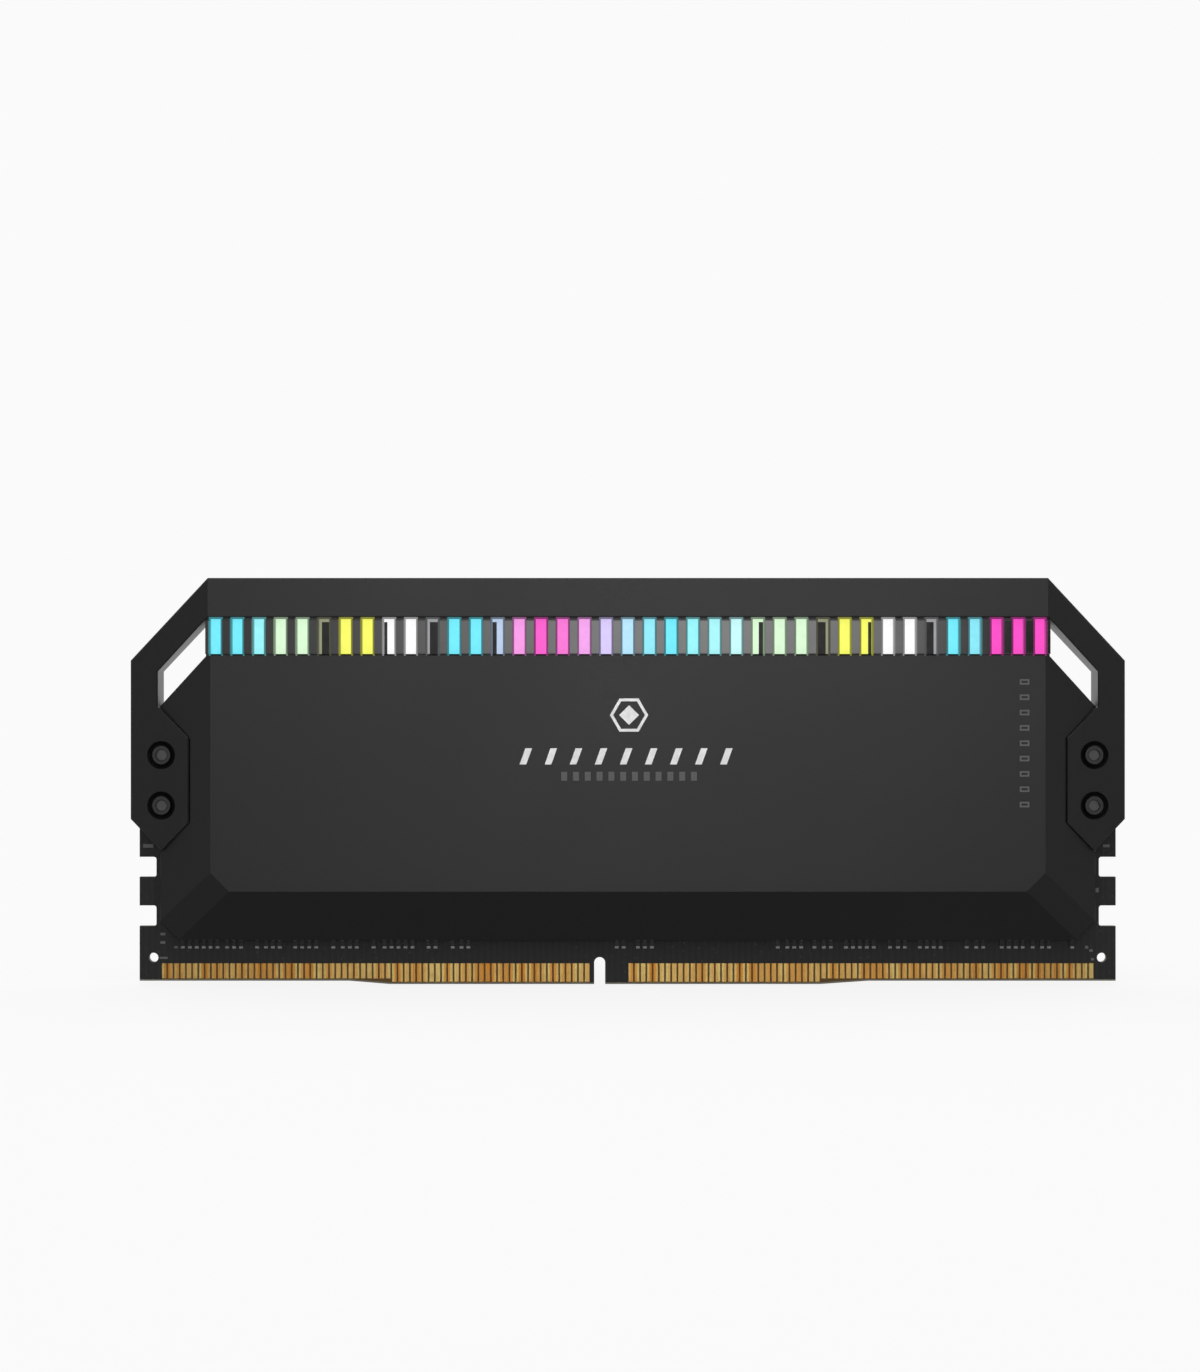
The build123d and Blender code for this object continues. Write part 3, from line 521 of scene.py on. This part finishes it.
# The studio, as seen from the part: for each light its brightness, where 1 is white paper, and its
# soft edges. An edge is read on one axis of the direction, and says where the light starts to show
# and where it is full. aside is across without its sign.
AHEAD = ("along", -0.60, -0.85)
PANEL_FOOT = ("up", -0.06, 0.02)
PANEL_HEAD = ("up", 0.45, 0.20)
STUDIO = {
    "panel": (4.50, AHEAD, ("across", -0.13, 0.03), ("across", 0.19, 0.03), ("across", 0.125, 0.088),
              PANEL_FOOT, PANEL_HEAD),
    "glint": (0.50, AHEAD, ("across", -0.080, -0.112), ("across", -0.16, -0.13), PANEL_FOOT, PANEL_HEAD),
    "skirt": (0.50, AHEAD, ("aside", 0.20, 0.14), ("up", -0.125, -0.095), ("up", -0.050, -0.070)),
    "fill": (0.25, AHEAD, ("aside", 0.45, 0.05), ("up", -0.35, 0.10)),
    "sides": (0.34, ("along", -0.30, -0.60), ("aside", 0.25, 0.45), ("aside", 0.85, 0.65),
              ("up", -0.66, -0.30)),
    "behind": (0.75, ("along", 0.05, 0.60)),
    "above": (0.80, ("up", 0.30, 0.90)),
    "below": (0.85, ("up", -0.60, -0.95)),
}
BASE_LIGHT = 0.05

SOFTBOX_PLACE = (0.0, -0.35, 1.10)
SOFTBOX_SIZE = (0.9, 0.5)
SOFTBOX_WATTS = 1.5

CAMERA_DISTANCE = 450 * MM
CAMERA_ACROSS = -3.78 * MM   # a little left of the middle
CAMERA_HEIGHT = 40.74 * MM   # about three quarters of the way up
CAMERA_LENS = 86.3
CAMERA_SENSOR = 36.0


def floor():
    """A wide pale floor: its tone is even, and only soft shadows near the part show on it."""
    bpy.ops.mesh.primitive_circle_add(vertices=96, radius=FLOOR_RADIUS, fill_type="NGON")
    made = bpy.context.object
    made.name = "floor"
    made.location.z = -FLOOR_DROP
    shader = Shader("floor_pale", Specular_IOR_Level=0.0, Roughness=1.0, Emission_Strength=1.0)
    distance = shader.node("ShaderNodeVectorMath", operation="LENGTH")
    shader.link(shader.place, distance.inputs[0])
    near = shader.span(distance.outputs["Value"], FLOOR_NEAR, FLOOR_FAR, FLOOR_SHARE, 0.0, smooth=True)
    speck = shader.span(shader.noise(30), 0.3, 0.7, 0.99, 1.0)
    base = shader.blend(near, grey(0.0), grey(1.0))
    shader.feed("Base Color", shader.blend(1.0, base, speck, "MULTIPLY"))
    shader.feed("Emission Color", shader.blend(near, PALE, grey(FLOOR_LIFT)))
    made.data.materials.append(shader.material)
    made.visible_glossy = False
    made.visible_diffuse = False
    made.visible_shadow = False


def surroundings():
    """The studio: pale where the camera sees it. It lights the part softly from all round."""
    world = bpy.data.worlds.new("studio")
    bpy.context.scene.world = world
    world.use_nodes = True
    graph = Graph(world.node_tree)
    graph.tree.nodes.clear()
    direction = graph.node("ShaderNodeTexCoord").outputs["Generated"]
    across, along, up = (graph.axis(name, direction) for name in "XYZ")
    axes = {"across": across, "along": along, "up": up, "aside": graph.math("ABSOLUTE", across)}
    lights = []
    for brightness, *edges in STUDIO.values():
        shares = [graph.span(axes[axis], start, full, 0.0, 1.0, smooth=True)
                  for axis, start, full in edges]
        lights.append(graph.math("MULTIPLY", *shares, brightness))
    glow = graph.node("ShaderNodeBackground")
    graph.link(graph.math("ADD", *lights, BASE_LIGHT), glow.inputs["Strength"])
    seen = graph.node("ShaderNodeBackground")
    set_sockets(seen, Color=PALE)
    pick = graph.node("ShaderNodeMixShader")
    graph.link(graph.node("ShaderNodeLightPath").outputs["Is Camera Ray"], pick.inputs["Fac"])
    graph.link(glow.outputs[0], pick.inputs[1])
    graph.link(seen.outputs[0], pick.inputs[2])
    graph.link(pick.outputs[0], graph.node("ShaderNodeOutputWorld").inputs["Surface"])


def softbox(name, aim):
    """A rectangular area light over the front, turned to the part."""
    data = bpy.data.lights.new(name, "AREA")
    data.shape = "RECTANGLE"
    data.size, data.size_y = SOFTBOX_SIZE
    data.energy = SOFTBOX_WATTS
    made = bpy.data.objects.new(name, data)
    made.location = SOFTBOX_PLACE
    made.rotation_euler = (Vector(aim) - Vector(SOFTBOX_PLACE)).to_track_quat("-Z", "Y").to_euler()
    bpy.context.collection.objects.link(made)


def camera():
    """Straight on, level, from less than half a metre."""
    data = bpy.data.cameras.new("camera")
    data.sensor_width = CAMERA_SENSOR
    data.lens = CAMERA_LENS
    data.clip_start = 0.01
    data.clip_end = 50
    made = bpy.data.objects.new("camera", data)
    made.location = (CAMERA_ACROSS, -CAMERA_DISTANCE, CAMERA_HEIGHT)
    made.rotation_euler = (math.radians(90), 0, 0)
    bpy.context.collection.objects.link(made)
    bpy.context.scene.camera = made


dress_outside()
dress_inside()
dress_prints()
floor()
surroundings()
low, high = cad_box
middle = tuple((near + far) / 2 for near, far in zip(low, high))
softbox("top", middle)
camera()
bpy.context.scene.view_settings.view_transform = "Standard"
